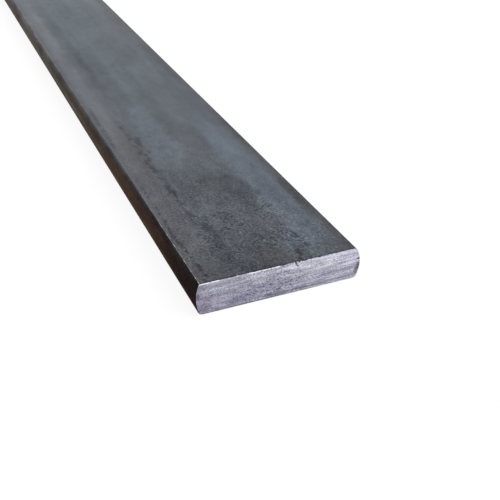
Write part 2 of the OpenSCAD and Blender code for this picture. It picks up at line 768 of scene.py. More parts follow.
@dataclass
class Wiring:
    """Makes and joins the nodes of a material, or of the surroundings.

    Attributes:
        owner: The material or the world.
        tree: Its node tree, which starts empty.
    """

    owner: bpy.types.Material | bpy.types.World
    tree: bpy.types.NodeTree = field(init=False)

    def __post_init__(self) -> None:
        """Empties the owner's node tree."""
        self.owner.use_nodes = True
        self.tree = self.owner.node_tree
        self.tree.nodes.clear()

    def fill(self, socket: Socket, value: Socket | Colour | float) -> None:
        """Joins an input to another node's output, or gives it a plain value.

        Args:
            socket: The input.
            value: The output or the plain value.
        """
        if isinstance(value, bpy.types.NodeSocket):
            self.tree.links.new(value, socket)
        else:
            socket.default_value = value

    def node(self, kind: str, *inputs: Socket | Colour | float | None, **options: str) -> bpy.types.Node:
        """Makes a node, sets its options and fills its inputs in order.

        Args:
            kind: Blender's name for the node.
            *inputs: Sockets or plain values, in the order of the node's inputs. None skips one.
            **options: The node's own options.

        Returns:
            The node.
        """
        node = self.tree.nodes.new(kind)
        for name, value in options.items():
            setattr(node, name, value)
        for socket, value in zip(node.inputs, inputs):
            if value is not None:
                self.fill(socket, value)
        return node

    def maths(self, operation: str, *values: Socket | float) -> Socket:
        """One Math node, such as ADD, MULTIPLY, MAXIMUM or ABSOLUTE."""
        return self.node("ShaderNodeMath", *values, operation=operation).outputs[0]

    def seen(self) -> Socket:
        """1 on the rays that show the background, and 0 on those that only light the bar.

        Returns:
            Whether the ray comes from the camera, a reflection or glass.
        """
        path = self.node("ShaderNodeLightPath").outputs
        straight = self.maths("MAXIMUM", path["Is Camera Ray"], path["Is Glossy Ray"])
        return self.maths("MAXIMUM", straight, path["Is Transmission Ray"])


@dataclass
class Bench(Wiring):
    """The node tree of one finish, with a short method for each step that the finishes use.

    A step may be several nodes, and its method returns the output of the last one. Lengths are in
    metres, but along and across take theirs in millimetres.

    Attributes:
        end_x: Place along the bar of the near sawn end.
        place: The place on the bar.
        axis: The same place along each axis.
    """

    end_x: float
    place: Socket = field(init=False)
    axis: bpy.types.NodeOutputs = field(init=False)

    def __post_init__(self) -> None:
        """Starts the tree with the place on the bar."""
        super().__post_init__()
        self.place = self.node("ShaderNodeTexCoord").outputs["Object"]
        self.axis = self.node("ShaderNodeSeparateXYZ", self.place).outputs

    @cached_property
    def from_end(self) -> Socket:
        """Distance along the bar from the nearer sawn end."""
        return self.maths("SUBTRACT", self.end_x, self.maths("ABSOLUTE", self.axis[0]))

    def rise(self, value: Socket, low: float, high: float, start: float = 0.0, end: float = 1.0) -> Socket:
        """Turns a value smoothly from start, at low and below, to end, at high and above."""
        return self.node("ShaderNodeMapRange", value, low, high, start, end,
                         interpolation_type="SMOOTHSTEP").outputs[0]

    def along(self, low: float, high: float, start: float = 0.0, end: float = 1.0) -> Socket:
        """Rises between two distances from the nearer sawn end, given in millimetres."""
        return self.rise(self.from_end, low * MM, high * MM, start, end)

    def across(self, low: float, high: float, start: float = 0.0, end: float = 1.0) -> Socket:
        """Rises between two places across the bar, given in millimetres."""
        return self.rise(self.axis[1], low * MM, high * MM, start, end)

    def product(self, *values: Socket | float) -> Socket:
        """The values multiplied together."""
        return reduce(lambda total, value: self.maths("MULTIPLY", total, value), values)

    def add_noise(self, value: Socket | float, noise: Socket, strength: Socket | float) -> Socket:
        """Adds noise around its own middle to a value: value + (noise - 1/2) strength."""
        return self.maths("MULTIPLY_ADD", self.maths("SUBTRACT", noise, 0.5), strength, value)

    def grain(self, grain: Grain) -> Socket:
        """Soft random noise of about 0 to 1.

        Args:
            grain: The pattern.

        Returns:
            The noise.
        """
        place, scale = self.place, grain.scale
        if isinstance(scale, tuple):
            place, scale = self.node("ShaderNodeMapping", place, None, None, scale).outputs[0], 1.0
        return self.node("ShaderNodeTexNoise", place, grain.seed, scale, grain.detail, grain.roughness,
                         noise_dimensions="4D").outputs[0]

    def wander(self, scale: float, reach: float, seed: float) -> Socket:
        """The place on the bar, pushed about by noise, so that marks drawn on it have ragged outlines.

        Args:
            scale: Patches of the noise in a metre.
            reach: How far the place is pushed at most, each way.
            seed: Which of the endless patterns is used.

        Returns:
            The pushed place.
        """
        noise = self.node("ShaderNodeTexNoise", self.place, seed, scale, 6.0, 0.7,
                          noise_dimensions="4D").outputs["Color"]
        centred = self.node("ShaderNodeVectorMath", noise, (0.5, 0.5, 0.5), operation="SUBTRACT")
        return self.node("ShaderNodeVectorMath", centred.outputs[0], (4 * reach,) * 3, self.place,
                         operation="MULTIPLY_ADD").outputs[0]

    def spot(self, place: Socket, centre: Place, reach: Place) -> Socket:
        """A soft spot: 1 in its middle, falling smoothly to 0 at its reach along each axis.

        Args:
            place: The place that it is drawn on.
            centre: Its middle.
            reach: Its reach along, across and up the bar.

        Returns:
            How strong the spot is.
        """
        away = self.node("ShaderNodeVectorMath", place, centre, operation="SUBTRACT").outputs[0]
        share = self.node("ShaderNodeVectorMath", away, reach, operation="DIVIDE").outputs[0]
        length = self.node("ShaderNodeVectorMath", share, operation="LENGTH").outputs["Value"]
        return self.rise(length, 0.35, 1.0, 1.0, 0.0)

    def blend(self, share: Socket | float, first: Socket, second: Socket | Colour,
              mixing: Mixing = Mixing.COVERS) -> Socket:
        """Mixes two colours.

        Args:
            share: How far the second colour acts, from 0 to 1.
            first: The first colour.
            second: The second colour.
            mixing: How the second colour acts.

        Returns:
            The mixed colour.
        """
        node = self.node("ShaderNodeMix", data_type="RGBA", blend_type=mixing.value)
        inputs = {socket.identifier: socket for socket in node.inputs}
        self.fill(inputs["Factor_Float"], share)
        self.fill(inputs["A_Color"], first)
        self.fill(inputs["B_Color"], (*second, 1.0) if isinstance(second, tuple) else second)
        return next(socket for socket in node.outputs if socket.identifier == "Result_Color")

    def tinted(self, share: Socket | float, colour: Socket, tint: Socket | Colour) -> Socket:
        """Multiplies a colour by a tint, as far as the share says."""
        return self.blend(share, colour, tint, Mixing.TINTS)

    def stained(self, colour: Socket, place: Socket, stains: tuple[Stain, ...]) -> Socket:
        """Tints a colour at each patch: stains, and on the sawn end also painted shade.

        Args:
            colour: The colour so far.
            place: The place that the stains are drawn on.
            stains: The stains.

        Returns:
            The tinted colour.
        """
        for stain in stains:
            centre = (self.end_x - stain.centre[0], *stain.centre[1:])
            share = self.product(self.spot(place, centre, stain.reach), stain.strength)
            colour = self.tinted(share, colour, stain.tint)
        return colour

    def seamed(self, colour: Socket, seam: Seam) -> Socket:
        """Tints a colour along a seam.

        Args:
            colour: The colour so far.
            seam: The seam.

        Returns:
            The tinted colour.
        """
        place = self.wander(1.0 / seam.blot, 0.7 * seam.half_width, seam.seed)
        pushed = self.node("ShaderNodeSeparateXYZ", place).outputs
        aside = self.maths("ABSOLUTE", self.maths("SUBTRACT", pushed[1], seam.y))
        line = self.rise(aside, 0.1 * seam.half_width, seam.half_width, 1.0, 0.0)
        from_end = self.maths("SUBTRACT", self.end_x, self.axis[0])
        starts = self.rise(from_end, seam.start, seam.start + 2 * seam.blot)
        ends = self.rise(from_end, seam.end - 2 * seam.blot, seam.end, 1.0, 0.0)
        low = 0.66 - 0.32 * seam.cover
        grain = Grain((1.0 / seam.blot, 1.6 / seam.blot, 1.0 / seam.blot), 3.0, 0.6, seam.seed)
        blots = self.rise(self.grain(grain), low, low + 0.12)
        return self.tinted(self.product(line, blots, starts, ends), colour, seam.tint)

    def shades(self, value: Socket, stops: Stops) -> Socket:
        """A colour that follows a value.

        Args:
            value: The value.
            stops: The values at which the colour is given, with those colours.

        Returns:
            The colour, between those of the nearest stops.
        """
        ramp = self.node("ShaderNodeValToRGB", value)
        points = ramp.color_ramp.elements
        for number, (at, colour) in enumerate(stops):
            point = points[number] if number < 2 else points.new(at)
            point.position = at
            point.color = (*colour, 1.0)
        return ramp.outputs[0]

    def finish(self, colour: Socket, pattern: Socket, span: tuple[float, float],
               noises: tuple[Socket, Socket], surface: Surface) -> bpy.types.Material:
        """Adds the surface itself.

        Args:
            colour: Base colour.
            pattern: The pattern that its roughness follows.
            span: Values of the pattern between which the roughness changes.
            noises: The coarse and the fine noise that make up its relief.
            surface: How it takes the light.

        Returns:
            The finished material.
        """
        coarse, fine = noises
        roughness = self.rise(pattern, *span, *surface.roughness)
        height = self.maths("ADD", self.product(coarse, 0.6), self.product(fine, 0.4))
        bump = self.node("ShaderNodeBump", 1.0, surface.relief)
        self.fill(bump.inputs["Height"], height)
        shader = self.node("ShaderNodeBsdfPrincipled")
        for name, value in (("Base Color", colour), ("Roughness", roughness), ("Metallic", surface.metallic),
                            ("Specular IOR Level", surface.gloss), ("Normal", bump.outputs[0])):
            self.fill(shader.inputs[name], value)
        self.node("ShaderNodeOutputMaterial", shader.outputs[0])
        return self.owner


def on_top(*rows: Row) -> tuple[Stain, ...]:
    """Stains on the upper face.

    Args:
        *rows: For each stain its distance from the near sawn end, its place across, its reach along
            and its reach across in millimetres, then its tint and its strength.

    Returns:
        The stains.
    """
    return tuple(Stain((from_end * MM, y * MM, 10 * MM), (along * MM, across * MM, 6 * MM), tint, strength)
                 for from_end, y, along, across, tint, strength in rows)


def on_end(*rows: Row) -> tuple[Stain, ...]:
    """Stains, and patches of painted shade, on the near sawn end.

    Args:
        *rows: For each stain its place across, its height, its reach across and its reach up in
            millimetres, then its tint and its strength.

    Returns:
        The stains.
    """
    return tuple(Stain((0.0, y * MM, z * MM), (3 * MM, across * MM, up * MM), tint, strength)
                 for y, z, across, up, tint, strength in rows)


def seams(*rows: SeamRow) -> tuple[Seam, ...]:
    """Seams on the upper face, each row in the order of Seam's fields but in millimetres."""
    return tuple(Seam(*(size * MM for size in row[:5]), *row[5:]) for row in rows)


DARK: Colour = (0.52, 0.53, 0.58)
SOOT: Colour = (0.62, 0.57, 0.56)
BROWN: Colour = (0.80, 0.74, 0.71)
OLIVE: Colour = (0.80, 0.82, 0.76)
PLUM: Colour = (0.96, 0.86, 0.92)
BLUE: Colour = (1.20, 1.28, 1.36)
PALE: Colour = (1.30, 1.32, 1.30)

SEAMS: tuple[Seam, ...] = seams(
    (-5, 13, -20.9, 1.1, 1.7, 0.72, (0.42, 0.39, 0.41), 1.7),
    (9, 24, -21.5, 1.0, 1.6, 0.66, (0.42, 0.37, 0.38), 5.1),
    (19, 34, -22.1, 1.0, 1.8, 0.80, (0.42, 0.38, 0.39), 7.3),
    (30, 62, -21.9, 0.9, 2.2, 0.62, (0.50, 0.46, 0.47), 4.2),
    (58, 140, -22.0, 1.2, 4, 0.62, (0.66, 0.64, 0.65), 2.9),
    (18, 66, -13.4, 1.4, 4, 0.62, (0.50, 0.50, 0.54), 3.3),
    (40, 92, -14.0, 1.7, 5, 0.66, (0.45, 0.45, 0.48), 6.1),
    (58, 124, -14.8, 1.5, 7, 0.66, (0.48, 0.48, 0.51), 7.4),
    (66, 134, -12.8, 2.0, 6, 0.55, (0.50, 0.50, 0.53), 8.6),
    (128, 240, -12.0, 2.4, 18, 0.60, (0.80, 0.80, 0.82), 9.8),
)

TOP_STAINS: tuple[Stain, ...] = on_top(
    (55, 14.8, 75, 7.5, BLUE, 0.85),
    (11, 7.5, 7, 3.5, BLUE, 0.6),
    (12, -3.5, 32, 12, (0.82, 0.82, 0.83), 1.0),
    (7, -16, 16, 6.0, (0.72, 0.71, 0.71), 0.8),
    (60, 21.6, 80, 2.6, (0.82, 0.80, 0.78), 0.8),
    (92, -16.5, 42, 5, (0.80, 0.78, 0.76), 1.0),
    (86, 6.5, 30, 5, (0.88, 0.87, 0.88), 1.0),
    (165, 17, 58, 4.5, (1.26, 1.28, 1.28), 1.0),
    (245, 16, 70, 8, (0.93, 0.93, 0.93), 1.0),
    (330, -19.4, 400, 4.6, (1.37, 1.33, 1.30), 1.0),
    (300, 0, 220, 24, (0.95, 0.99, 0.99), 1.0),
    (260, 22.5, 160, 4, (0.81, 0.79, 0.76), 1.0),
    (266, 0, 46, 28, (0.90, 0.90, 0.90), 1.0),
    (3, 16, 6, 9, OLIVE, 0.9),
    (5, 8.4, 7, 2.6, SOOT, 0.8),
    (4.6, 7.6, 2.6, 1.0, (0.50, 0.48, 0.50), 1.0),
    (7.8, 10.8, 2, 0.8, (0.42, 0.42, 0.45), 1.0),
    (14.2, 11.0, 3.6, 0.9, (0.40, 0.40, 0.44), 1.0),
    (0.8, 6.4, 1.6, 0.9, (0.5, 0.5, 0.5), 0.9),
    (4, -1, 15, 8, BROWN, 0.95),
    (2, -9, 7, 3, DARK, 0.5),
    (17, -11, 9, 2.6, DARK, 0.55),
    (27, -11.5, 5, 1.8, DARK, 0.9),
    (22, 8.5, 8, 3.5, PLUM, 0.9),
    (43, 11, 2.5, 1.1, DARK, 0.8),
    (47, 5.5, 13, 6, DARK, 0.30),
    (40, 8.6, 5.5, 1.5, DARK, 0.6),
    (48, 9.3, 8, 1.8, DARK, 0.6),
    (55.5, 5, 4, 5, DARK, 0.5),
    (56.5, -2, 3, 4, DARK, 0.3),
    (8, 13, 16, 8, (1.27, 1.27, 1.27), 1.0),
    (34, 11.0, 26, 5.5, (1.22, 1.21, 1.20), 1.0),
    (38, -9, 24, 5.5, (1.24, 1.24, 1.23), 1.0),
    (24.5, -10, 4.5, 1.1, DARK, 0.8),
    (53, -1, 10, 9, OLIVE, 0.8),
    (64, -3.5, 7, 3.5, OLIVE, 0.5),
    (61, 5, 3, 1.6, DARK, 0.4),
    (74, -11, 8, 2.2, PALE, 0.5),
    (30, -18.5, 10, 3, PLUM, 0.9),
    (32, -23.1, 66, 1.2, (1.29, 1.20, 1.13), 1.0),
    (62, -18.5, 95, 7, (1.05, 0.985, 0.97), 1.0),
    (58, -18.5, 72, 3.4, (0.91, 0.885, 0.88), 1.0),
    (61, 17.5, 3, 1.3, DARK, 0.5),
    (16, 22.6, 24, 1.8, SOOT, 0.6),
    (38, 21.8, 17, 2.4, SOOT, 0.9),
    (82, 22.6, 34, 1.5, SOOT, 0.5),
    (82, 5, 10, 9, PLUM, 0.8),
    (98, -5.8, 48, 7, (1.37, 1.39, 1.39), 1.0),
    (90, 15, 34, 6, (1.10, 1.11, 1.11), 1.0),
    (155, 1, 60, 10, (1.11, 1.13, 1.13), 1.0),
    (106, -7, 15, 4.5, (1.16, 1.17, 1.18), 1.0),
    (125, -7.2, 5, 2.4, (1.14, 1.15, 1.17), 1.0),
    (160, -12.5, 15, 3.4, PLUM, 0.9),
    (186, 7, 14, 6.5, (0.84, 0.84, 0.86), 0.9),
    (230, -5, 70, 11, (0.88, 0.93, 0.93), 0.9),
    (215, -12, 120, 3, (0.86, 0.86, 0.88), 0.9),
    (21, -3.5, 0.7, 0.5, (2.2, 2.1, 2.0), 1.0),
    (8, -22.8, 22, 1.3, (1.06, 0.97, 0.90), 1.0),
)

TOP_SPOTS: tuple[Stain, ...] = on_top(
    (3.4, -20.7, 1.4, 0.85, (0.36, 0.35, 0.39), 1.0),
    (7.8, -20.7, 2.2, 0.75, (0.48, 0.46, 0.48), 1.0),
    (5.8, -20.8, 1.2, 0.55, (0.60, 0.58, 0.60), 1.0),
    (1.5, -21.9, 0.9, 0.6, (0.50, 0.48, 0.50), 1.0),
    (3.7, 7.6, 1.5, 0.6, (0.50, 0.48, 0.48), 1.0),
    (1.2, 6.6, 1.8, 0.7, (0.55, 0.52, 0.51), 1.0),
)

END_STAINS_AND_SHADE: tuple[Stain, ...] = on_end(
    (14, 8.5, 15, 1.6, (1.14, 1.14, 1.12), 0.9),
    (16, 8.2, 4, 2.4, (1.20, 1.20, 1.17), 1.0),
    (13, 9.9, 14, 0.55, (1.22, 1.22, 1.20), 1.0),
    (6, 5.6, 6, 3.0, (0.96, 0.97, 0.95), 0.9),
    (2, 6.8, 24, 1.0, (0.95, 0.96, 0.95), 0.9),
    (0, 0.2, 26, 0.6, (0.70, 0.70, 0.70), 1.0),
    (2, 3.2, 24, 0.7, (0.93, 0.93, 0.93), 0.9),
    (9.5, 3.2, 1.8, 2.6, (1.10, 1.10, 1.08), 0.9),
    (8, 5, 4, 5, (0.93, 0.93, 0.93), 0.9),
    (-3, 4.4, 9, 2.4, (0.77, 0.76, 0.79), 0.9),
    (-1.5, 1.2, 4.5, 1.3, (0.50, 0.49, 0.52), 0.9),
    (6.5, 1.3, 3, 0.9, (0.62, 0.60, 0.66), 0.9),
    (14, 3.6, 5, 0.8, (0.72, 0.71, 0.80), 0.8),
    (18, 7.6, 7, 0.45, (0.70, 0.68, 0.74), 0.8),
    (2, 7.3, 6, 0.5, (0.72, 0.71, 0.78), 0.8),
    (-12, 2.6, 6, 1.4, (0.78, 0.77, 0.88), 0.9),
    (-8, 5.6, 4, 0.5, (0.74, 0.73, 0.80), 0.8),
    (-0.4, 2.6, 0.6, 0.4, (0.35, 0.34, 0.40), 0.9),
    (-3.8, 5.7, 0.7, 0.3, (0.50, 0.48, 0.55), 0.9),
    (-22, 2.6, 3.2, 2.0, (0.88, 0.82, 0.84), 0.9),
    (-24.2, 6.0, 0.7, 1.3, (0.45, 0.36, 0.36), 0.9),
    # Painted shade: the dark brown strip along the broken corner at the +Y edge.
    (24.4, 3.6, 0.8, 2.0, (0.42, 0.39, 0.36), 1.0),
    (23.9, 2.2, 0.9, 1.7, (0.45, 0.42, 0.40), 1.0),
    (2, 8.1, 26, 0.8, (1.16, 1.16, 1.15), 0.9),
    (-23.4, 8.2, 2.4, 2.6, (0.76, 0.75, 0.75), 0.9),
    (-2, 9.0, 6, 0.9, (0.88, 0.88, 0.88), 1.0),
    (11.5, 8.0, 3.5, 0.8, (0.84, 0.84, 0.84), 0.9),
    (-11, 7.0, 6, 0.9, (0.88, 0.88, 0.88), 0.9),
    (2.0, 5.6, 3.5, 1.3, (0.86, 0.86, 0.86), 0.9),
    (16, 6.0, 7, 0.8, (0.86, 0.86, 0.86), 0.9),
    (-5, 5.0, 2.2, 0.8, (0.85, 0.84, 0.86), 0.9),
    (21.8, 5.2, 2.6, 1.6, (1.22, 1.20, 1.18), 0.9),
    (-20, 5.1, 8, 1.0, (1.16, 1.15, 1.15), 0.9),
    (-2, 2.9, 2.2, 0.8, (0.85, 0.84, 0.85), 0.9),
    (-8, 4.0, 2.2, 0.8, (1.15, 1.14, 1.15), 0.9),
    (12.5, 2.2, 5, 0.8, (0.88, 0.88, 0.88), 0.9),
    (-20, 1.5, 5, 1.6, (1.24, 1.24, 1.24), 0.9),
    (2, 2.0, 24, 0.8, (1.18, 1.18, 1.18), 0.9),
    (2, 4.8, 24, 1.1, (1.11, 1.11, 1.11), 0.9),
    (-18, 4.0, 4, 4, (1.18, 1.18, 1.17), 0.9),
    (24.6, 6.2, 0.8, 0.6, (0.16, 0.15, 0.16), 1.0),
    (20.5, 1.3, 5, 1.0, (0.74, 0.72, 0.76), 0.8),
)

# Painted shade in the nick: dark patches down its groove, darker than the groove's relief makes it.
NICK_SHADE: tuple[Stain, ...] = on_end(
    (4.6, 9.7, 0.22, 0.55, (0.12, 0.11, 0.12), 1.0),
    (4.75, 9.2, 0.22, 0.45, (0.12, 0.11, 0.12), 1.0),
    (4.95, 8.8, 0.26, 0.34, (0.08, 0.07, 0.08), 1.0),
    (5.3, 8.55, 0.40, 0.24, (0.12, 0.11, 0.12), 1.0),
)


@dataclass(frozen=True)
class MillScale:
    """The blue-grey oxide on the flat faces, pitted and stained near the sawn end.

    Attributes:
        end_x: Place along the bar of the near sawn end.
        half_width: Half the width of the bar.
        streak: The long streaks that rolling leaves.
        cloud: The lighter and darker patches.
        mottle: The small patches.
        grit: The finest grain.
        patches: Where the pits are close together.
        pits: The fine dark pits.
        flecks: The fine light flecks.
        shades: The colours of the scale, from dark to light.
        pit_tint: What a pit multiplies the colour by.
        fleck_tint: What a fleck multiplies the colour by.
        rim_tint: What the strip along the +Y edge is multiplied by.
        cut_tint: What the thin line along the cut is multiplied by.
        surface: How the scale takes the light.
    """

    end_x: float
    half_width: float
    streak: Grain = Grain((6.0, 150.0, 6.0), 2.0, 0.5, 1.3)
    cloud: Grain = Grain((28.0, 75.0, 75.0), 3.0, 0.55, 4.1)
    mottle: Grain = Grain((220.0, 330.0, 260.0), 3.0, 0.65, 7.7)
    grit: Grain = Grain(1300.0, 2.0, 0.65, 2.2)
    patches: Grain = Grain(110.0, 4.0, 0.65, 3.9)
    pits: Grain = Grain(1250.0, 2.0, 0.6, 5.2)
    flecks: Grain = Grain(1350.0, 1.0, 0.5, 6.6)
    shades: Stops = ((0.0, (0.020, 0.023, 0.030)), (0.25, (0.050, 0.056, 0.069)),
                     (0.5, (0.086, 0.099, 0.116)), (0.75, (0.125, 0.147, 0.166)),
                     (1.0, (0.19, 0.215, 0.235)))
    pit_tint: Colour = (0.28, 0.28, 0.34)
    fleck_tint: Colour = (1.55, 1.55, 1.52)
    rim_tint: Colour = (0.66, 0.59, 0.56)
    cut_tint: Colour = (0.35, 0.33, 0.33)
    surface: Surface = Surface(roughness=(0.66, 0.52), metallic=0.1, gloss=0.22, relief=0.06 * MM)

    def build(self) -> bpy.types.Material:
        """Makes the material.

        Returns:
            The material.
        """
        bench = Bench(bpy.data.materials.new("mill_scale"), self.end_x)
        mottle, grit = bench.grain(self.mottle), bench.grain(self.grit)
        plain = bench.product(bench.across(8, 14, 1.0, 0.60), bench.across(-19, -13, 0.80, 1.0))
        # The scale gets lighter away from the sawn end: partly its own darker tone near the cut, partly
        # painted grazing sheen that grows farther off.
        tone = bench.along(10, 300, 0.41, 0.57)
        for noise, strength in ((bench.grain(self.streak), 0.34), (bench.grain(self.cloud), 0.50),
                                (mottle, bench.product(bench.along(20, 150, 0.70, 0.22), plain)),
                                (grit, bench.product(bench.along(8, 110, 1.6, 0.36), plain))):
            tone = bench.add_noise(tone, noise, strength)
        colour = self._pitted(bench, bench.shades(tone, self.shades))
        colour = bench.stained(colour, bench.wander(scale=75.0, reach=1.6 * MM, seed=9.4), TOP_STAINS)
        colour = bench.stained(colour, bench.wander(scale=700.0, reach=0.15 * MM, seed=5.9), TOP_SPOTS)
        for seam in SEAMS:
            colour = bench.seamed(colour, seam)
        rim = bench.rise(bench.axis[1], self.half_width - 2.8 * MM, self.half_width - 1.3 * MM)
        colour = bench.tinted(rim, colour, self.rim_tint)
        colour = bench.tinted(bench.along(0.35, 0.8, 0.75, 0.0), colour, self.cut_tint)
        return bench.finish(colour, tone, (0.2, 0.8), (mottle, grit), self.surface)

    def _pitted(self, bench: Bench, colour: Socket) -> Socket:
        """Darkens the colour in fine pits and lightens it in fine flecks, in patches near the end.

        Args:
            bench: The material's bench.
            colour: The colour so far.

        Returns:
            The pitted colour.
        """
        patches = bench.rise(bench.grain(self.patches), 0.42, 0.58)
        near = bench.along(12, 66, 1.25, 0.0)
        smooth = bench.across(-18, -13, 0.30, 1.0)
        share = bench.product(near, bench.across(9, 15, 1.0, 0.3), smooth,
                              bench.maths("MULTIPLY_ADD", patches, 0.75, 0.25))
        pits = bench.rise(bench.grain(self.pits), 0.49, 0.62)
        flecks = bench.rise(bench.grain(self.flecks), 0.57, 0.70)
        colour = bench.tinted(bench.product(pits, share), colour, self.pit_tint)
        return bench.tinted(bench.product(flecks, near, smooth), colour, self.fleck_tint)


@dataclass(frozen=True)
class RolledEdgeSkin:
    """The brown-black oxide on the narrow edges, darkest near the sawn end and greyer above.

    Its colour holds painted light as well: painted shade in the near-black at the sawn end, painted
    grazing sheen in its lightening inwards, and painted light from the floor's bounce on its lower part.

    Attributes:
        end_x: Place along the bar of the near sawn end.
        thickness: Thickness of the bar.
        corner_line_y: Place across the bar of the thin bright line on the upper corner.
        shade_length: Distance from the sawn end over which the shades run.
        streak: The fine streaks along the edge.
        blotch: The larger patches.
        grit: The finest grain.
        rust: The rusty patches.
        breaks: The breaks in the bright corner line.
        lower_shades: Colours of most of the edge, from the sawn end inwards: the oxide's brown, with painted
            shade near the end and painted grazing sheen farther in.
        upper_shades: Colours near the upper corner, from the sawn end inwards, with the same painted shade
            and sheen.
        bounce_light_tint: What the lower part is multiplied by: painted light from the floor's bounce, which
            lightens and greys it.
        rust_tint: What a rusty patch is multiplied by.
        band_tint: What the band above the middle is multiplied by, some way from the end.
        corner_line_colour: Colour of the thin bright line.
        surface: How the edge takes the light.
    """

    end_x: float
    thickness: float
    corner_line_y: float = -23.60 * MM
    shade_length: float = 0.32
    streak: Grain = Grain((14.0, 14.0, 420.0), 3.0, 0.6, 3.6)
    blotch: Grain = Grain((60.0, 90.0, 150.0), 4.0, 0.6, 6.1)
    grit: Grain = Grain(1300.0, 2.0, 0.6, 8.8)
    rust: Grain = Grain((100.0, 90.0, 320.0), 3.0, 0.6, 5.7)
    breaks: Grain = Grain((520.0, 900.0, 520.0), 3.0, 0.75, 4.4)
    lower_shades: Stops = ((0.03, (0.029, 0.018, 0.015)), (0.14, (0.095, 0.057, 0.038)),
                           (0.28, (0.110, 0.073, 0.051)), (0.41, (0.155, 0.120, 0.088)),
                           (0.56, (0.152, 0.130, 0.108)), (0.90, (0.184, 0.160, 0.138)))
    upper_shades: Stops = ((0.10, (0.036, 0.030, 0.031)), (0.17, (0.054, 0.047, 0.046)),
                           (0.28, (0.120, 0.119, 0.114)), (0.56, (0.166, 0.163, 0.160)),
                           (0.90, (0.207, 0.207, 0.214)))
    bounce_light_tint: Colour = (1.36, 1.46, 1.50)
    rust_tint: Colour = (1.20, 0.88, 0.76)
    band_tint: Colour = (0.76, 0.74, 0.74)
    corner_line_colour: Colour = (0.66, 0.64, 0.62)
    surface: Surface = Surface(roughness=(0.80, 0.66), metallic=0.0, gloss=0.01, relief=0.06 * MM)

    def build(self) -> bpy.types.Material:
        """Makes the material.

        Returns:
            The material.
        """
        bench = Bench(bpy.data.materials.new("rolled_edge"), self.end_x)
        blotch, grit = bench.grain(self.blotch), bench.grain(self.grit)
        inwards = bench.add_noise(bench.product(bench.from_end, 1.0 / self.shade_length), blotch, 0.10)
        upwards = bench.add_noise(bench.product(bench.axis[2], 1.0 / self.thickness), blotch, 0.10)
        middle = bench.product(bench.along(85, 115), bench.along(180, 230, 1.0, 0.0))
        band = bench.product(middle, bench.rise(upwards, 0.56, 0.72),
                             bench.rise(upwards, 0.82, 0.96, 1.0, 0.0))
        # Painted light: beyond some 22 to 50 mm from the end, the lower part of the edge is lightened and
        # greyed by painted bounce light from the floor. It reaches higher between about 85 and 230 mm.
        low = bench.rise(bench.maths("MULTIPLY_ADD", middle, -0.13, upwards), 0.32, 0.52, 1.0, 0.0)
        rust = bench.product(bench.rise(bench.grain(self.rust), 0.54, 0.66), bench.along(60, 130, 0.8, 0.2))
        # Painted light: the shades run from near-black at the sawn end, partly painted shade, to a lighter
        # grey-brown inwards, partly painted grazing sheen on an edge left almost without gloss.
        colour = bench.shades(inwards, self.lower_shades)
        colour = bench.tinted(bench.product(low, bench.along(22, 50)), colour, self.bounce_light_tint)
        colour = bench.tinted(rust, colour, self.rust_tint)
        upper = bench.shades(inwards, self.upper_shades)
        colour = bench.blend(bench.rise(upwards, 0.74, 0.92), colour, upper)
        colour = bench.tinted(band, colour, self.band_tint)
        tone = 1.0
        for noise, strength in ((blotch, 1.9), (bench.grain(self.streak), 1.1), (grit, 1.2)):
            tone = bench.add_noise(tone, noise, strength)
        grey = bench.node("ShaderNodeCombineColor", tone, tone, tone).outputs[0]
        colour = self._corner_line(bench, bench.tinted(1.0, colour, grey))
        return bench.finish(colour, grit, (0.3, 0.7), (blotch, grit), self.surface)

    def _corner_line(self, bench: Bench, colour: Socket) -> Socket:
        """Adds a thin bright line along the upper corner, broken in places and fading away from the sawn
        end.

        Args:
            bench: The material's bench.
            colour: The colour so far.

        Returns:
            The colour with the line.
        """
        aside = bench.maths("ABSOLUTE", bench.maths("SUBTRACT", bench.axis[1], self.corner_line_y))
        line = bench.rise(aside, 0.03 * MM, 0.10 * MM, 1.0, 0.0)
        kept = bench.maths("SUBTRACT", bench.grain(self.breaks), bench.along(20, 75, 0.44, 0.50))
        top = bench.rise(bench.axis[2], 0.6 * self.thickness, 0.7 * self.thickness)
        share = bench.product(line, bench.rise(kept, 0.0, 0.14, 0.25, 1.0), top,
                              bench.along(5, 75, 1.0, 0.15))
        return bench.blend(share, colour, self.corner_line_colour)


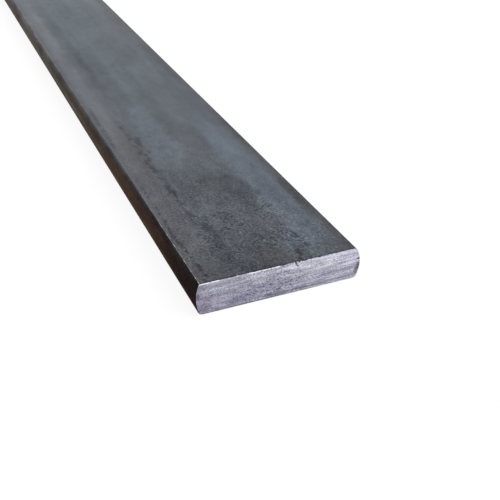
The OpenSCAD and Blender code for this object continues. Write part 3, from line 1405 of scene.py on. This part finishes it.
@dataclass(frozen=True)
class SawnSteel:
    """The bright cut steel of the ends, with a faint violet tint and saw marks across it.

    Its colour holds painted light as well: the end is lighter towards +Y, the lamp's side, the saw marks
    carry painted shading of their relief, the burr a painted glint, and the nick and the broken +Y
    corner painted shade.

    Attributes:
        end_x: Place along the bar of the near sawn end.
        thickness: Thickness of the bar.
        burr_end: Place across the bar where the bright burr stops.
        mark: The broad saw marks, whose stripes in the colour are partly painted shading of their relief.
        fine: The fine saw marks, likewise partly painted shading in the colour.
        fleck: The finest grain.
        patch: The lighter and darker patches.
        specks: The dark specks.
        torn: The beads of the burr.
        shades: The colours of the steel, from dark to light.
        speck_tint: What a speck multiplies the colour by.
        burr_glint_colour: Colour of the burr: torn bright steel with a painted glint.
        surface: How the steel takes the light.
    """

    end_x: float
    thickness: float
    burr_end: float = -0.3 * MM
    mark: Grain = Grain((60.0, 45.0, 850.0), 2.0, 0.5, 5.5)
    fine: Grain = Grain((350.0, 130.0, 2500.0), 2.0, 0.6, 1.9)
    fleck: Grain = Grain((3000.0, 2300.0, 3600.0), 1.0, 0.5, 7.3)
    patch: Grain = Grain((120.0, 130.0, 260.0), 3.0, 0.6, 2.4)
    specks: Grain = Grain((1200.0, 900.0, 1500.0), 1.0, 0.5, 4.7)
    torn: Grain = Grain(1150.0, 2.0, 0.7, 8.2)
    shades: Stops = ((0.0, (0.12, 0.11, 0.15)), (0.3, (0.25, 0.24, 0.32)),
                     (0.6, (0.41, 0.405, 0.50)), (1.0, (0.70, 0.70, 0.80)))
    speck_tint: Colour = (0.55, 0.53, 0.58)
    burr_glint_colour: Colour = (0.95, 0.94, 0.96)
    surface: Surface = Surface(roughness=(0.48, 0.36), metallic=0.85, gloss=0.5, relief=0.035 * MM)

    def build(self) -> bpy.types.Material:
        """Makes the material.

        Returns:
            The material.
        """
        bench = Bench(bpy.data.materials.new("sawn_steel"), self.end_x)
        mark, fleck = bench.grain(self.mark), bench.grain(self.fleck)
        # Painted light: the end's tone rises towards +Y, the side the lamp stands on. It also rises from the
        # bottom of the end to the top.
        rise = bench.rise(bench.axis[2], 0.0, self.thickness, -0.13, 0.11)
        tone = bench.maths("ADD", bench.maths("ADD", bench.across(-25, 25, -0.03, 0.22), rise), 0.47)
        torn = bench.product(bench.across(-14, -4, 1.25, 1.85), bench.across(0, 11, 1.0, 0.66))
        # The saw marks' light and dark stripes in the colour are partly the cut's own tone and partly
        # painted shading of their relief, besides the mesh's relief and the bump.
        for noise, strength in ((mark, 0.9), (bench.grain(self.fine), bench.across(-2, 10, 0.80, 1.28)),
                                (fleck, torn), (bench.grain(self.patch), 0.3)):
            tone = bench.add_noise(tone, noise, strength)
        colour = self._specked(bench, bench.shades(tone, self.shades))
        colour = bench.stained(colour, bench.wander(scale=130.0, reach=0.8 * MM, seed=3.1), END_STAINS_AND_SHADE)
        # Painted shade in the nick.
        colour = bench.stained(colour, bench.place, NICK_SHADE)
        colour = self._burr_and_glint(bench, colour)
        return bench.finish(colour, mark, (0.3, 0.7), (mark, fleck), self.surface)

    def _specked(self, bench: Bench, colour: Socket) -> Socket:
        """Adds the dark specks where the blade tore the middle of the near end.

        Args:
            bench: The material's bench.
            colour: The colour so far.

        Returns:
            The specked colour.
        """
        torn = bench.spot(bench.place, (self.end_x, -3 * MM, 0.38 * self.thickness),
                          (5 * MM, 15 * MM, 4.5 * MM))
        specks = bench.rise(bench.grain(self.specks), 0.58, 0.68)
        return bench.tinted(bench.product(specks, torn), colour, self.speck_tint)

    def _burr_and_glint(self, bench: Bench, colour: Socket) -> Socket:
        """Adds the bright, torn burr along the top, whose brightness is partly a painted glint.

        Args:
            bench: The material's bench.
            colour: The colour so far.

        Returns:
            The colour with the burr.
        """
        burr = bench.rise(bench.axis[2], self.thickness - 0.58 * MM, self.thickness - 0.40 * MM)
        level = bench.rise(bench.axis[1], self.burr_end - 0.5 * MM, self.burr_end + 1 * MM, 0.375, 0.60)
        thin = bench.product(bench.across(-19, -15), bench.across(-12, -8, 0.17, 0.0))
        beads = bench.maths("SUBTRACT", bench.grain(self.torn), bench.maths("ADD", level, thin))
        # Torn bright steel with a painted glint along the burr's edge.
        return bench.blend(bench.product(burr, bench.rise(beads, 0.0, 0.12)), colour, self.burr_glint_colour)


@dataclass(frozen=True)
class Studio:
    """A plain pale floor, soft light and the camera at the photograph's angle. Sizes are in metres.

    Attributes:
        near_end: Place along the bar of the near sawn end.
        camera_offset: Camera's place from the foot of the near end's middle.
        yaw: Turn of the view from the bar's own line, in radians.
        pitch: How far the view looks down, in radians.
        lens: Focal length in millimetres, for a picture as wide as the sensor.
        sensor: Width of the camera's sensor in millimetres.
        clip: Nearest and farthest distance that the camera sees.
        lamp_offset: The large soft lamp's place from the foot of the near end's middle: above the
            bar and to the right of the camera.
        lamp_aim: Place along the bar that the lamp faces, from the near end.
        lamp_size: Width of the lamp.
        lamp_power: Power of the lamp in watts.
        sky: Strength of the light from all round. The surroundings themselves show as white.
        floor_half: Half the side of the floor.
        floor_height: Height of the floor, just under the bar.
        floor_grey: How much light the floor gives back.
        floor_glow: How brightly it shows besides.
    """

    near_end: float
    camera_offset: Place = (166.52 * MM, -79.33 * MM, 128.47 * MM)
    yaw: float = math.radians(22.849)
    pitch: float = math.radians(31.632)
    lens: float = 57.66
    sensor: float = 36.0
    clip: tuple[float, float] = (0.01, 50.0)
    lamp_offset: Place = (0.35, 0.95, 1.35)
    lamp_aim: float = -0.15
    lamp_size: float = 1.6
    lamp_power: float = 21.0
    sky: float = 0.6
    floor_half: float = 4.0
    floor_height: float = -0.05 * MM
    floor_grey: float = 0.12
    floor_glow: float = 0.895

    def build(self) -> None:
        """Makes the camera, the lamp, the sky and the floor."""
        bpy.context.scene.view_settings.view_transform = "Standard"
        self._camera()
        self._lamp()
        self._sky()
        self._floor()

    @staticmethod
    def _place(data: bpy.types.ID, place: Vector, forward: Vector) -> bpy.types.Object:
        """Puts a camera or a lamp into the scene.

        Args:
            data: The camera or the lamp.
            place: Where it stands.
            forward: The direction that it faces.

        Returns:
            Its object, with the same name.
        """
        item = bpy.data.objects.new(data.name, data)
        item.location = place
        item.rotation_euler = forward.to_track_quat("-Z", "Y").to_euler()
        bpy.context.scene.collection.objects.link(item)
        return item

    def _camera(self) -> None:
        """Makes the camera and gives it to the scene."""
        data = bpy.data.cameras.new("camera")
        data.sensor_width = self.sensor
        data.lens = self.lens
        data.clip_start, data.clip_end = self.clip
        place = Vector((self.near_end, 0.0, 0.0)) + Vector(self.camera_offset)
        forward = Vector((-math.cos(self.yaw) * math.cos(self.pitch),
                          math.sin(self.yaw) * math.cos(self.pitch), -math.sin(self.pitch)))
        bpy.context.scene.camera = self._place(data, place, forward)

    def _lamp(self) -> None:
        """Makes the large soft lamp."""
        data = bpy.data.lights.new("soft_lamp", "AREA")
        data.shape = "DISK"
        data.size = self.lamp_size
        data.energy = self.lamp_power
        along, across, up = self.lamp_offset
        place = Vector((self.near_end + along, across, up))
        self._place(data, place, Vector((self.near_end + self.lamp_aim, 0.0, 0.0)) - place)

    def _sky(self) -> None:
        """Makes the white surroundings, which light the bar less than they show."""
        world = bpy.data.worlds.new("studio")
        wiring = Wiring(world)
        strength = wiring.node("ShaderNodeMapRange", wiring.seen(), 0.0, 1.0, self.sky, 1.0).outputs[0]
        light = wiring.node("ShaderNodeBackground", (1.0, 1.0, 1.0, 1.0), strength).outputs[0]
        wiring.node("ShaderNodeOutputWorld", light)
        bpy.context.scene.world = world

    def _floor(self) -> None:
        """Makes the white floor just under the bar."""
        reach, height = self.floor_half, self.floor_height
        mesh = bpy.data.meshes.new("floor")
        mesh.from_pydata([(-reach, -reach, height), (reach, -reach, height), (reach, reach, height),
                          (-reach, reach, height)], [], [(0, 1, 2, 3)])
        floor = bpy.data.objects.new("floor", mesh)
        wiring = Wiring(bpy.data.materials.new("floor"))
        matt = wiring.node("ShaderNodeBsdfDiffuse", (*(self.floor_grey,) * 3, 1.0)).outputs[0]
        strength = wiring.maths("MULTIPLY", wiring.seen(), self.floor_glow)
        glow = wiring.node("ShaderNodeEmission", None, strength).outputs[0]
        both = wiring.node("ShaderNodeAddShader", matt, glow).outputs[0]
        wiring.node("ShaderNodeOutputMaterial", both)
        mesh.materials.append(wiring.owner)
        bpy.context.scene.collection.objects.link(floor)


def main() -> None:
    """Builds the bar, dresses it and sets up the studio."""
    logging.basicConfig(level=logging.INFO, format="%(name)s: %(message)s")
    low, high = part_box(NODE)
    bar = FlatBar(low, high)
    piece = bar.build()
    skins = {
        Skin.MILL_SCALE: MillScale(high[0], bar.width / 2),
        Skin.ROLLED_EDGE: RolledEdgeSkin(high[0], bar.thickness),
        Skin.SAWN_STEEL: SawnSteel(high[0], bar.thickness),
    }
    for skin in Skin:
        piece.data.materials.append(skins[skin].build())
    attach(piece, "root")
    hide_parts(NODE)
    LOG.info("%s: %d points, %d faces", piece.name, len(piece.data.vertices), len(piece.data.polygons))
    Studio(high[0]).build()


if __name__ == "__main__":
    main()
